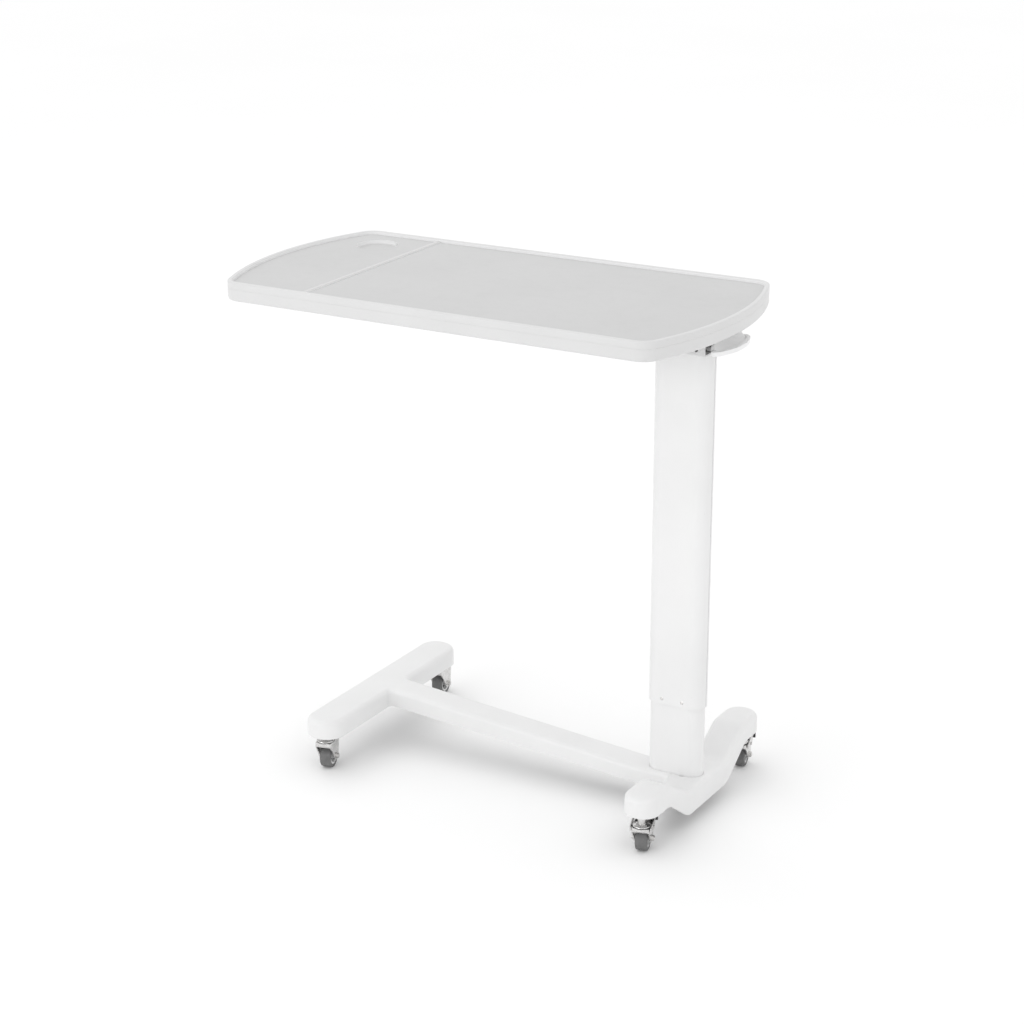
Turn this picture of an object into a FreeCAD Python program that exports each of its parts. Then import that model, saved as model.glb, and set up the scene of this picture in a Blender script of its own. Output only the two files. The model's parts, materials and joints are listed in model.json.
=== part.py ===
import FreeCAD, Part
import math
import os
import Sketcher

# Overbed table: a tray on a telescopic column, lifted by a locking gas spring,
# standing on an H-shaped base with four swivel casters.
# Design frame: tray centre at x = 0, y = 0, floor at z = 0, column towards +X.
# Each part's Placement moves it into the part frame with frame_x and frame_y.

doc = FreeCAD.newDocument("overbed_table")
Vector = FreeCAD.Vector

SIZES = {
    # frame of the finished part
    "frame_x": -4.0,
    "frame_y": -2.09,
    # tray
    "tray_length": 830.0,
    "tray_width": 420.0,
    "tray_bow": 45.0,
    "tray_corner": 32.0,
    "rim_top": 822.0,
    "rim_width": 8.0,
    "tray_surface": 816.5,
    "sheet_underside": 812.5,
    "shell_split": 810.5,
    "tray_base": 791.0,
    "shell_wall": 4.0,
    "floor_thick": 3.0,
    "divider_x": -231.0,
    "divider_wide": 7.5,
    "divider_high": 2.2,
    "cup_x": -312.0,
    "cup_y": 138.0,
    "cup_radius": 35.0,
    "cup_deep": 7.0,
    "boss_x_outer": 345.0,
    "boss_x_inner": 115.0,
    "boss_y": 183.0,
    "boss_radius": 5.5,
    # column
    "column_x": 331.0,
    "sleeve_long": 97.0,
    "sleeve_deep": 44.0,
    "sleeve_wall": 1.5,
    "sleeve_bottom": 181.0,
    "sleeve_top": 767.0,
    "groove_wide": 2.6,
    "groove_deep": 0.9,
    "inner_long": 90.8,
    "inner_deep": 38.6,
    "inner_wall": 2.0,
    "inner_bottom": 54.0,
    "inner_top": 654.0,
    "glide_high": 40.0,
    "sleeve_screw_x": 17.4,
    "sleeve_screw_z": 190.0,
    # support bracket under the tray
    "bracket_start": 262.0,
    "bracket_end": 390.5,
    "bracket_half": 61.0,
    "bracket_flange": 92.0,
    "bracket_sheet": 2.5,
    "bracket_screw_y": 77.0,
    "plate_start": 180.0,
    "plate_end": 380.0,
    "plate_half": 150.0,
    # release lever
    "lever_pivot_x": 356.0,
    "lever_pivot_z": 779.0,
    "lever_tip_x": 423.0,
    "lever_half": 58.5,
    "lever_neck": 38.0,
    "lever_thick": 6.8,
    "lever_underside": 769.0,
    # gas spring
    "cylinder_radius": 12.0,
    "cylinder_bore": 10.2,
    "cylinder_bottom": 66.0,
    "cylinder_top": 564.0,
    "rod_radius": 5.0,
    "rod_bottom": 298.0,
    "rod_top": 776.5,
    "pin_radius": 2.0,
    # base
    "left_bar_x": -227.0,
    "left_bar_wide": 64.0,
    "left_top": 96.0,
    "left_bottom": 65.0,
    "bar_half": 201.0,
    "beam_wide": 54.0,
    "right_bar_x": 360.0,
    "right_bar_wide": 56.0,
    "saddle_top": 64.0,
    "saddle_bottom": 24.0,
    "saddle_half": 62.0,
    "arm_top": 102.0,
    "arm_bottom": 70.0,
    "arm_start": 130.0,
    "beam_bottom": 37.0,
    "slope_start": -185.0,
    "slope_end": 262.0,
    "cover_skin": 4.0,
    "cover_round": 9.0,
    "stem_y": 176.0,
    # casters
    "wheel_radius": 20.5,
    "wheel_wide": 19.5,
    "caster_trail": 14.0,
    "fork_wide": 28.0,
    "fork_inner": 24.0,
    "fork_top": 47.0,
    "plain_fork_top": 52.0,
    "race_radius": 15.0,
    "axle_radius": 3.0,
    "stem_radius": 5.0,
    "neck_radius": 6.5,
    "running_gap": 0.1,
    "pedal_wide": 34.0,
    "pedal_inner": 30.4,
    "pedal_reach": 33.0,
    "pedal_pivot_y": 10.0,
    "pedal_pivot_z": 42.0,
}

CASTERS = {
    # name: (sign of x side, sign of y side, swivel angle in degrees, has brake)
    "front_left": (-1, -1, 14.0, False),
    "rear_left": (-1, 1, 6.0, False),
    "front_right": (1, -1, 16.0, True),
    "rear_right": (1, 1, 12.0, True),
}


class Size:
    """A length that keeps both its value and the sheet expression behind it."""

    def __init__(self, value, text):
        self.value = float(value)
        self.text = text

    @staticmethod
    def of(item):
        if isinstance(item, Size):
            return item
        return Size(item, repr(float(item)))

    def __add__(self, other):
        other = Size.of(other)
        return Size(self.value + other.value, f"({self.text} + {other.text})")

    def __sub__(self, other):
        other = Size.of(other)
        return Size(self.value - other.value, f"({self.text} - {other.text})")

    def __mul__(self, other):
        other = Size.of(other)
        return Size(self.value * other.value, f"({self.text} * {other.text})")

    def __truediv__(self, other):
        other = Size.of(other)
        return Size(self.value / other.value, f"({self.text} / {other.text})")

    def __neg__(self):
        return Size.of(0) - self

    __radd__ = __add__

    def __rmul__(self, other):
        return self * other

    def __rsub__(self, other):
        return Size.of(other) - self


def root_of(item):
    """Square root of a Size, as a Size."""
    return Size(math.sqrt(item.value), f"sqrt({item.text})")


class Sheet:
    """Reads every driving dimension as an attribute, such as s.tray_length."""

    def __init__(self, sizes):
        self.table = doc.addObject("Spreadsheet::Sheet", "sizes")
        for row, (name, value) in enumerate(sizes.items(), start=1):
            self.table.set(f"A{row}", name)
            self.table.set(f"B{row}", str(value))
            self.table.setAlias(f"B{row}", name)
            setattr(self, name, Size(value, f"sizes.{name}"))
        doc.recompute()


s = Sheet(SIZES)
PARTS = []


def bind(item, name, size):
    """Set a property and keep it tied to the sheet."""
    size = Size.of(size)
    item.setExpression(name, size.text)


def place(item, x=0.0, y=0.0, z=0.0, turn=0.0):
    """Give a finished part its Placement, turned about the vertical by turn degrees."""
    item.Placement = FreeCAD.Placement(Vector(0, 0, 0), FreeCAD.Rotation(Vector(0, 0, 1), turn))
    bind(item, "Placement.Base.x", s.frame_x + x)
    bind(item, "Placement.Base.y", s.frame_y + y)
    bind(item, "Placement.Base.z", Size.of(z))


def keep(item, label, x=0.0, y=0.0, z=0.0, turn=0.0):
    """Label a finished part, place it and put it on the list of files to write."""
    item.Label = label
    place(item, x, y, z, turn)
    PARTS.append(item)
    return item


def new_body(name):
    return doc.addObject("PartDesign::Body", name)


def new_sketch(body, plane, offset=0.0):
    """A sketch on one of the body's origin planes, moved along the plane's normal."""
    sketch = body.newObject("Sketcher::SketchObject", f"{body.Name}_sketch")
    support = [item for item in body.Origin.OriginFeatures if item.Role == f"{plane}_Plane"][0]
    sketch.AttachmentSupport = [(support, "")]
    sketch.MapMode = "FlatFace"
    bind(sketch, "AttachmentOffset.Base.z", Size.of(offset))
    return sketch


def hold(sketch, curve, point, x=None, y=None):
    """Fix one point of a curve at (x, y) from the sketch origin."""
    for kind, size in (("DistanceX", x), ("DistanceY", y)):
        if size is None:
            continue
        size = Size.of(size)
        row = sketch.addConstraint(Sketcher.Constraint(kind, -1, 1, curve, point, size.value))
        sketch.setExpression(f"Constraints[{row}]", size.text)


def draw_polygon(sketch, corners):
    """Closed outline of straight lines through the corners."""
    corners = [(Size.of(x), Size.of(y)) for x, y in corners]
    first = sketch.GeometryCount
    count = len(corners)
    for index, (x, y) in enumerate(corners):
        next_x, next_y = corners[(index + 1) % count]
        line = Part.LineSegment(Vector(x.value, y.value, 0), Vector(next_x.value, next_y.value, 0))
        sketch.addGeometry(line)
    for index, (x, y) in enumerate(corners):
        following = first + (index + 1) % count
        sketch.addConstraint(Sketcher.Constraint("Coincident", first + index, 2, following, 1))
        hold(sketch, first + index, 1, x, y)


def draw_rectangle(sketch, x, y, wide, deep):
    x, y, wide, deep = (Size.of(item) for item in (x, y, wide, deep))
    left, right = x - wide / 2, x + wide / 2
    low, high = y - deep / 2, y + deep / 2
    draw_polygon(sketch, [(left, low), (right, low), (right, high), (left, high)])


def draw_circle(sketch, x, y, radius):
    x, y, radius = (Size.of(item) for item in (x, y, radius))
    centre = Vector(x.value, y.value, 0)
    curve = sketch.addGeometry(Part.Circle(centre, Vector(0, 0, 1), radius.value))
    hold(sketch, curve, 3, x, y)
    row = sketch.addConstraint(Sketcher.Constraint("Radius", curve, radius.value))
    sketch.setExpression(f"Constraints[{row}]", radius.text)


def draw_line(sketch, start, end):
    """Straight line with both ends tied to the sheet."""
    points = [Vector(x.value, y.value, 0) for x, y in (start, end)]
    curve = sketch.addGeometry(Part.LineSegment(*points))
    hold(sketch, curve, 1, *start)
    hold(sketch, curve, 2, *end)


def draw_arc(sketch, centre, start, end):
    """Counter-clockwise arc with its ends and its centre's x tied to the sheet."""
    middle = Vector(centre[0].value, centre[1].value, 0)
    spokes = [Vector(x.value, y.value, 0) - middle for x, y in (start, end)]
    first, last = (math.atan2(spoke.y, spoke.x) for spoke in spokes)
    if last < first:
        last += 2 * math.pi
    circle = Part.Circle(middle, Vector(0, 0, 1), spokes[0].Length)
    curve = sketch.addGeometry(Part.ArcOfCircle(circle, first, last))
    hold(sketch, curve, 1, *start)
    hold(sketch, curve, 2, *end)
    hold(sketch, curve, 3, x=centre[0])


def draw_obround(sketch, x, y, long, deep):
    """Slot outline along the sketch's X axis with half-round ends."""
    x, y, long, deep = (Size.of(item) for item in (x, y, long, deep))
    radius = deep / 2
    reach = long / 2 - radius
    low, high = y - radius, y + radius
    left, right = x - reach, x + reach
    draw_line(sketch, (left, low), (right, low))
    draw_arc(sketch, (right, y), (right, low), (right, high))
    draw_line(sketch, (right, high), (left, high))
    draw_arc(sketch, (left, y), (left, high), (left, low))


def draw_tray(sketch, inset):
    """Tray outline moved inwards by inset: straight long sides, bowed ends, round corners."""
    half = s.tray_width / 2
    end_radius = (half * half + s.tray_bow * s.tray_bow) / (2 * s.tray_bow)
    centre = s.tray_length / 2 - end_radius
    # The corner arcs keep the same centres whatever the inset is.
    reach = end_radius - s.tray_corner
    corner_y = half - s.tray_corner
    spread = root_of(reach * reach - corner_y * corner_y)
    corner_x = spread + centre
    scale = (end_radius - inset) / reach
    meet_x = spread * scale + centre
    meet_y = corner_y * scale
    side = half - inset
    draw_line(sketch, (-corner_x, -side), (corner_x, -side))
    draw_arc(sketch, (corner_x, -corner_y), (corner_x, -side), (meet_x, -meet_y))
    draw_arc(sketch, (centre, Size.of(0)), (meet_x, -meet_y), (meet_x, meet_y))
    draw_arc(sketch, (corner_x, corner_y), (meet_x, meet_y), (corner_x, side))
    draw_line(sketch, (corner_x, side), (-corner_x, side))
    draw_arc(sketch, (-corner_x, corner_y), (-corner_x, side), (-meet_x, meet_y))
    draw_arc(sketch, (-centre, Size.of(0)), (-meet_x, meet_y), (-meet_x, -meet_y))
    draw_arc(sketch, (-corner_x, -corner_y), (-meet_x, -meet_y), (-corner_x, -side))


def extrude(body, kind, sketch, length, symmetric=False, backwards=False):
    """Pad or Pocket of a sketch, as the body's new tip."""
    feature = body.newObject(f"PartDesign::{kind}", f"{body.Name}_{kind.lower()}")
    feature.Profile = sketch
    feature.SideType = "Symmetric" if symmetric else "One side"
    feature.Reversed = backwards
    bind(feature, "Length", length)
    body.Tip = feature
    return feature


def pad(body, sketch, length, symmetric=False, backwards=False):
    return extrude(body, "Pad", sketch, length, symmetric, backwards)


def pocket(body, sketch, length, symmetric=False, backwards=False):
    return extrude(body, "Pocket", sketch, length, symmetric, backwards)


def revolve(body, sketch, axis="V_Axis", cut=False):
    """Full turn of a half profile about one of the sketch's own axes."""
    kind = "Groove" if cut else "Revolution"
    feature = body.newObject(f"PartDesign::{kind}", f"{body.Name}_{kind.lower()}")
    feature.Profile = sketch
    feature.ReferenceAxis = (sketch, [axis])
    feature.Angle = 360.0
    body.Tip = feature
    return feature


def find_edges(feature, test):
    """Names of the edges of a feature for which test(edge) holds."""
    doc.recompute()
    edges = feature.Shape.Edges
    return [f"Edge{number}" for number, edge in enumerate(edges, start=1) if test(edge)]


def round_edges(body, test, radius, kind="Fillet"):
    """Fillet or chamfer every edge of the body's tip that passes the test."""
    base = body.Tip
    names = find_edges(base, test)
    feature = body.newObject(f"PartDesign::{kind}", f"{body.Name}_{kind.lower()}")
    feature.Base = (base, names)
    bind(feature, "Radius" if kind == "Fillet" else "Size", radius)
    body.Tip = feature
    return feature


def span(edge):
    return edge.BoundBox


def runs_along(edge, axis):
    """True for a straight edge that lies along the named axis."""
    if edge.Curve.TypeId != "Part::GeomLine":
        return False
    direction = edge.Curve.Direction
    return abs(getattr(direction, axis)) > 0.999


def at_height(edge, z, tolerance=0.01):
    box = span(edge)
    return abs(box.ZMin - z.value) < tolerance and abs(box.ZMax - z.value) < tolerance


def half_profile(body, corners, plane="XZ", axis="V_Axis"):
    """Turned part: revolve a polygon given as (radius, height) corners."""
    sketch = new_sketch(body, plane)
    draw_polygon(sketch, corners)
    return revolve(body, sketch, axis)


# ---------------------------------------------------------------- tray


def tray_blank(body, low, high):
    """Solid slab with the tray's rounded outline."""
    sketch = new_sketch(body, "XY", low)
    draw_tray(sketch, Size.of(0))
    pad(body, sketch, high - low)


def tray_hollow(body, low, high, inset):
    """Pocket with the tray's outline moved inwards, from high down to low."""
    sketch = new_sketch(body, "XY", high)
    draw_tray(sketch, inset)
    pocket(body, sketch, high - low)


def shell_screw_points():
    return [(x * side, s.boss_y * front)
            for x in (s.boss_x_outer, s.boss_x_inner) for side in (-1, 1) for front in (-1, 1)]


def bracket_screw_points():
    stations = (s.bracket_start + 13, s.column_x, s.bracket_end - 13)
    return [(x, s.bracket_screw_y * front) for x in stations for front in (-1, 1)]


def circle_features(body, kind, level, length, points, radius, backwards=False):
    """One pad or pocket made of equal circles at the listed points."""
    sketch = new_sketch(body, "XY", level)
    for x, y in points:
        draw_circle(sketch, x, y, radius)
    return extrude(body, kind, sketch, length, backwards=backwards)


def make_tray_top():
    """Upper moulding: working surface, raised rim, divider, cup recess and screw bosses."""
    body = new_body("tray_top")
    tray_blank(body, s.shell_split, s.rim_top)
    tray_hollow(body, s.tray_surface, s.rim_top, s.rim_width)
    tray_hollow(body, s.shell_split, s.sheet_underside, s.shell_wall)
    divider = new_sketch(body, "XY", s.tray_surface - 1)
    draw_rectangle(divider, s.divider_x, 0.0, s.divider_wide, s.tray_width - 2 * s.rim_width + 2)
    pad(body, divider, s.divider_high + 1)
    cup_floor = s.tray_surface - s.cup_deep
    cup_base = cup_floor - 2.5
    circle_features(body, "Pad", cup_base, s.sheet_underside - cup_base + 0.5,
                    [(s.cup_x, s.cup_y)], s.cup_radius + 4)
    circle_features(body, "Pocket", s.tray_surface, s.cup_deep, [(s.cup_x, s.cup_y)], s.cup_radius)
    bosses = shell_screw_points()
    boss_foot = s.tray_base + s.floor_thick + 0.2
    circle_features(body, "Pad", boss_foot, s.sheet_underside - boss_foot + 1, bosses, s.boss_radius)
    circle_features(body, "Pocket", boss_foot, Size.of(13), bosses, Size.of(1.9), backwards=True)
    cup_wide = 2 * s.cup_radius.value
    outline = s.tray_length.value / 2

    def cup_edge(level):
        return lambda edge: at_height(edge, level) and abs(span(edge).XLength - cup_wide) < 0.5

    round_edges(body, cup_edge(cup_floor), Size.of(3))
    round_edges(body, cup_edge(s.tray_surface), Size.of(1))

    def rim_edge(edge):
        return at_height(edge, s.rim_top)

    def divider_edge(edge):
        return at_height(edge, s.tray_surface + s.divider_high) and runs_along(edge, "y")

    round_edges(body, rim_edge, Size.of(2.6))
    round_edges(body, divider_edge, Size.of(0.9))

    def split_edge(edge):
        box = span(edge)
        outside = max(abs(box.XMin), abs(box.XMax)) > outline - 80 or box.XLength > 600
        on_outline = box.YMax > s.tray_width.value / 2 - 0.1 or box.YMin < 0.1 - s.tray_width.value / 2
        bowed = max(abs(box.XMin), abs(box.XMax)) > outline - 0.1
        return at_height(edge, s.shell_split) and outside and (on_outline or bowed)

    round_edges(body, split_edge, Size.of(0.3), "Chamfer")
    return keep(body, "tray_top")


def make_tray_bottom():
    """Lower moulding: rim, floor and a locating tongue inside the upper moulding."""
    body = new_body("tray_bottom")
    tray_blank(body, s.tray_base, s.shell_split)
    tray_hollow(body, s.tray_base + s.floor_thick, s.shell_split, s.shell_wall)
    tongue = new_sketch(body, "XY", s.tray_base + s.floor_thick - 1)
    draw_tray(tongue, s.shell_wall + 0.4)
    draw_tray(tongue, s.shell_wall + 2.4)
    pad(body, tongue, s.shell_split - s.tray_base - s.floor_thick + 2)
    outline = s.tray_length.value / 2

    def outer(edge, level):
        box = span(edge)
        on_side = box.YMax > s.tray_width.value / 2 - 0.1 or box.YMin < 0.1 - s.tray_width.value / 2
        bowed = max(abs(box.XMin), abs(box.XMax)) > outline - 0.1
        return at_height(edge, level) and (on_side or bowed)

    round_edges(body, lambda edge: outer(edge, s.tray_base), Size.of(4))
    round_edges(body, lambda edge: outer(edge, s.shell_split), Size.of(0.3), "Chamfer")
    circle_features(body, "Pocket", s.tray_base + s.floor_thick, s.floor_thick,
                    shell_screw_points(), Size.of(2.3))
    circle_features(body, "Pocket", s.tray_base + s.floor_thick, s.floor_thick,
                    bracket_screw_points(), Size.of(2.6))
    return keep(body, "tray_bottom")


def make_tray_plate():
    """Steel plate on the floor of the lower moulding that takes the bracket screws."""
    body = new_body("tray_plate")
    level = s.tray_base + s.floor_thick
    sketch = new_sketch(body, "XY", level)
    draw_rectangle(sketch, (s.plate_start + s.plate_end) / 2, 0.0,
                   s.plate_end - s.plate_start, 2 * s.plate_half)
    pad(body, sketch, Size.of(3))
    circle_features(body, "Pocket", level + 3, Size.of(3), bracket_screw_points(), Size.of(2.6))
    round_edges(body, lambda edge: runs_along(edge, "z"), Size.of(12))
    return keep(body, "tray_plate")


def make_stiffener(label, side):
    """Rectangular steel tube that stiffens the tray lengthwise."""
    body = new_body(label)
    sketch = new_sketch(body, "YZ", -s.tray_length / 2 + 60)
    middle = s.tray_base + s.floor_thick + 6
    draw_rectangle(sketch, 120.0 * side, middle, 25.0, 12.0)
    draw_rectangle(sketch, 120.0 * side, middle, 22.0, 9.0)
    pad(body, sketch, s.plate_start + s.tray_length / 2 - 70)
    return keep(body, label)


def make_screws(label, points, underside, shank, reach, head=4.2):
    """Round-headed screws driven upwards, one solid each, kept as one part."""
    solids = []
    for x, y in points:
        base = Vector(Size.of(x).value, Size.of(y).value, underside.value)
        dome = Part.makeSphere(head * 1.3, base + Vector(0, 0, head * 0.83))
        cap = Part.makeCylinder(head, 2.2, base + Vector(0, 0, -2.2)).common(dome)
        recess = Part.makeBox(head, 0.9, 0.9, base + Vector(-head / 2, -0.45, -2.4))
        cross = Part.makeBox(0.9, head, 0.9, base + Vector(-0.45, -head / 2, -2.4))
        stem = Part.makeCylinder(shank, reach, base + Vector(0, 0, -0.5))
        solids.append(cap.fuse(stem).cut(recess).cut(cross).removeSplitter())
    screws = doc.addObject("Part::Feature", label)
    screws.Shape = Part.makeCompound(solids)
    return keep(screws, label)


# ---------------------------------------------------------------- column


def obround_tube(body, low, high, long, deep, wall):
    sketch = new_sketch(body, "XY", low)
    draw_obround(sketch, s.column_x, 0.0, long, deep)
    draw_obround(sketch, s.column_x, 0.0, long - 2 * wall, deep - 2 * wall)
    pad(body, sketch, high - low)


def make_sleeve():
    """Outer column that rises with the tray, with a shallow groove down each narrow side."""
    body = new_body("column_sleeve")
    obround_tube(body, s.sleeve_bottom, s.sleeve_top, s.sleeve_long, s.sleeve_deep, s.sleeve_wall)
    for side in (-1, 1):
        groove = new_sketch(body, "XY", s.sleeve_top)
        edge = s.column_x + side * (s.sleeve_long / 2)
        draw_rectangle(groove, edge, 0.0, 2 * s.groove_deep, s.groove_wide)
        pocket(body, groove, s.sleeve_top - s.sleeve_bottom)
    holes = new_sketch(body, "XZ")
    for side in (-1, 1):
        draw_circle(holes, s.column_x + side * s.sleeve_screw_x, s.sleeve_screw_z, 1.7)
    pocket(body, holes, s.sleeve_deep + 10, symmetric=True)
    return keep(body, "column_sleeve")


def make_sleeve_glide():
    """Plastic bush held in the bottom of the sleeve; the inner column slides in it."""
    body = new_body("sleeve_glide")
    sketch = new_sketch(body, "XY", s.sleeve_bottom + 0.5)
    slack = 2 * s.sleeve_wall + 0.2
    draw_obround(sketch, s.column_x, 0.0, s.sleeve_long - slack, s.sleeve_deep - slack)
    draw_obround(sketch, s.column_x, 0.0, s.inner_long + 0.2, s.inner_deep + 0.2)
    pad(body, sketch, s.glide_high)
    holes = new_sketch(body, "XZ")
    for side in (-1, 1):
        draw_circle(holes, s.column_x + side * s.sleeve_screw_x, s.sleeve_screw_z, 1.7)
    pocket(body, holes, s.sleeve_deep + 10, symmetric=True)
    return keep(body, "sleeve_glide")


def make_column_glide():
    """Plastic bush fixed round the top of the inner column; the sleeve slides on it."""
    body = new_body("column_glide")
    sketch = new_sketch(body, "XY", s.inner_top - s.glide_high)
    slack = 2 * s.sleeve_wall + 0.2
    draw_obround(sketch, s.column_x, 0.0, s.sleeve_long - slack, s.sleeve_deep - slack)
    draw_obround(sketch, s.column_x, 0.0, s.inner_long + 0.2, s.inner_deep + 0.2)
    pad(body, sketch, s.glide_high)
    return keep(body, "column_glide")


def make_column_inner():
    """Inner column, welded to the foot plate."""
    body = new_body("column_inner")
    obround_tube(body, s.inner_bottom, s.inner_top, s.inner_long, s.inner_deep, s.inner_wall)
    return keep(body, "column_inner")


def make_sleeve_screws():
    """Four small screws that hold the glide in the sleeve, two on each broad face."""
    solids = []
    face = s.sleeve_deep.value / 2
    for side in (-1, 1):
        for front in (-1, 1):
            x = s.column_x.value + side * s.sleeve_screw_x.value
            base = Vector(x, front * face, s.sleeve_screw_z.value)
            outward = Vector(0, front, 0)
            cap = Part.makeCylinder(2.9, 0.9, base, outward)
            dome = Part.makeSphere(5.2, base - outward * 4.3)
            slot = Part.makeBox(3.4, 0.8, 0.7, Vector(x - 1.7, front * (face + 0.9) - 0.4, base.z - 0.35))
            stem = Part.makeCylinder(1.6, 2.3, base + outward * 0.2, -outward)
            solids.append(cap.common(dome).fuse(stem).cut(slot).removeSplitter())
    screws = doc.addObject("Part::Feature", "sleeve_screws")
    screws.Shape = Part.makeCompound(solids)
    return keep(screws, "sleeve_screws")


# ---------------------------------------------------------------- support bracket and release


def make_bracket():
    """Folded steel channel between the column and the tray, open at its outer end."""
    body = new_body("support_bracket")
    sketch = new_sketch(body, "YZ", s.bracket_start)
    half, flange, sheet = s.bracket_half, s.bracket_flange, s.bracket_sheet
    low, high = s.sleeve_top, s.tray_base
    draw_polygon(sketch, [
        (-half, low), (half, low), (half, high - sheet), (flange, high - sheet), (flange, high),
        (half - sheet, high), (half - sheet, low + sheet), (sheet - half, low + sheet),
        (sheet - half, high), (-flange, high), (-flange, high - sheet), (-half, high - sheet)])
    pad(body, sketch, s.bracket_end - s.bracket_start)
    windows = new_sketch(body, "XZ")
    base_z = low + sheet + 3
    for x in (s.bracket_end - 16, s.bracket_start + 16):
        draw_polygon(windows, [(x, base_z), (x + 6, base_z + 3), (x, base_z + 6)])
    pocket(body, windows, 2 * half + 10, symmetric=True)
    pivot = new_sketch(body, "XZ")
    draw_circle(pivot, s.lever_pivot_x, s.lever_pivot_z, 3.1)
    pocket(body, pivot, 2 * half + 10, symmetric=True)
    circle_features(body, "Pocket", low + sheet, sheet, [(s.column_x, 0.0)], s.rod_radius + 0.2)
    circle_features(body, "Pocket", high, sheet, bracket_screw_points(), Size.of(2.6))

    def bend(edge):
        box = span(edge)
        outer_fold = abs(abs(box.YMin) - half.value) < 0.01 and abs(box.ZMin - low.value) < 0.01
        return runs_along(edge, "x") and outer_fold and box.XLength > 50

    round_edges(body, bend, Size.of(3))
    round_edges(body, lambda edge: runs_along(edge, "z") and
                abs(abs(span(edge).YMin) - flange.value) < 0.01, Size.of(8))
    return keep(body, "support_bracket")


def lever_outline(sketch, inset, start):
    """Paddle with a bowed outer edge on a narrower neck, drawn from start outwards."""
    half, tip = s.lever_half - inset, s.lever_tip_x - inset
    neck, shoulder = s.lever_neck - inset, s.bracket_end + 1 + inset / 2
    upper = [(start, neck), (shoulder, neck), (tip - 24 + inset, half), (tip - 19, half),
             (tip - 11, half - 7.5), (tip - 4.5, half - 24), (tip, half - 44)]
    lower = [(x, -y) for x, y in reversed(upper)]
    draw_polygon(sketch, lower + upper)


def make_release_lever():
    """Plastic paddle under the column end of the tray, with a finger over the release pin."""
    body = new_body("release_lever")
    neck, top = s.lever_neck, s.lever_underside + s.lever_thick
    sketch = new_sketch(body, "XY", s.lever_underside)
    lever_outline(sketch, Size.of(0), s.lever_pivot_x)
    pad(body, sketch, s.lever_thick)

    def bowed_edge(edge):
        return runs_along(edge, "z") and span(edge).XMin > s.lever_tip_x.value - 6

    def shoulder_edge(edge):
        return runs_along(edge, "z") and s.lever_pivot_x.value + 5 < span(edge).XMin < s.lever_tip_x.value - 15

    round_edges(body, bowed_edge, Size.of(50))
    round_edges(body, shoulder_edge, Size.of(4))
    dish = new_sketch(body, "XY", top)
    lever_outline(dish, Size.of(4.5), s.bracket_end - 8)
    pocket(body, dish, Size.of(1.6))
    clearance = new_sketch(body, "XZ")
    draw_polygon(clearance, [
        (s.lever_pivot_x - 5, s.lever_underside - 1), (s.bracket_end + 1, s.lever_underside - 1),
        (s.bracket_end + 1, s.lever_underside + 1.8), (s.lever_pivot_x - 5, s.lever_underside + 1.8)])
    pocket(body, clearance, 2 * neck + 20, symmetric=True)
    back = new_sketch(body, "XZ")
    draw_polygon(back, [
        (s.bracket_end + 4, top - 2), (s.bracket_end + 17, top - 2), (s.bracket_end + 11, top + 1.5),
        (s.bracket_end + 7, top + 9), (s.bracket_end + 4, top + 9)])
    pad(body, back, 2 * s.lever_half - 20, symmetric=True)

    def back_end(edge):
        box = span(edge)
        return runs_along(edge, "x") and at_height(edge, top + 9) and abs(box.YMin) > neck.value

    round_edges(body, back_end, Size.of(7))
    barrel = new_sketch(body, "XZ")
    draw_circle(barrel, s.lever_pivot_x, s.lever_pivot_z, 6.5)
    pad(body, barrel, 2 * neck + 6, symmetric=True)
    finger = new_sketch(body, "XZ")
    draw_polygon(finger, [
        (s.column_x - 7, s.rod_top + 5.6), (s.lever_pivot_x, s.rod_top + 5.6),
        (s.lever_pivot_x, s.rod_top + 8.6), (s.column_x - 7, s.rod_top + 8.6)])
    pad(body, finger, Size.of(14), symmetric=True)
    bore = new_sketch(body, "XZ")
    draw_circle(bore, s.lever_pivot_x, s.lever_pivot_z, 3.1)
    pocket(body, bore, 2 * neck + 20, symmetric=True)

    def underside_rim(edge):
        return at_height(edge, s.lever_underside) and span(edge).XMin > s.bracket_end.value + 2

    round_edges(body, underside_rim, Size.of(1.6))
    return keep(body, "release_lever")


def make_release_pivot():
    """Headed pin across the bracket that the lever turns on."""
    body = new_body("release_pivot")
    shank = new_sketch(body, "XZ")
    draw_circle(shank, s.lever_pivot_x, s.lever_pivot_z, 3.0)
    pad(body, shank, 2 * s.bracket_half + 4, symmetric=True)
    for side in (-1, 1):
        head = new_sketch(body, "XZ", side * (s.bracket_half + 0.3))
        draw_circle(head, s.lever_pivot_x, s.lever_pivot_z, 5.0)
        pad(body, head, Size.of(2), backwards=side < 0)
    return keep(body, "release_pivot")


def make_release_spring():
    """Coil on the pivot pin that brings the lever back down."""
    path_radius = 4.4
    start = s.lever_neck.value + 4.2
    helix = Part.makeHelix(1.5, 7.0, path_radius)
    helix.rotate(Vector(0, 0, 0), Vector(1, 0, 0), -90)
    centre = Vector(s.lever_pivot_x.value, start, s.lever_pivot_z.value)
    helix.translate(centre)
    ring = Part.makeCircle(0.6, centre + Vector(path_radius, 0, 0), Vector(0, 0, 1))
    coil = Part.Wire(helix.Edges).makePipeShell([Part.Wire([ring])], True, True)
    spring = doc.addObject("Part::Feature", "release_spring")
    spring.Shape = coil
    return keep(spring, "release_spring")


# ---------------------------------------------------------------- gas spring


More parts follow.
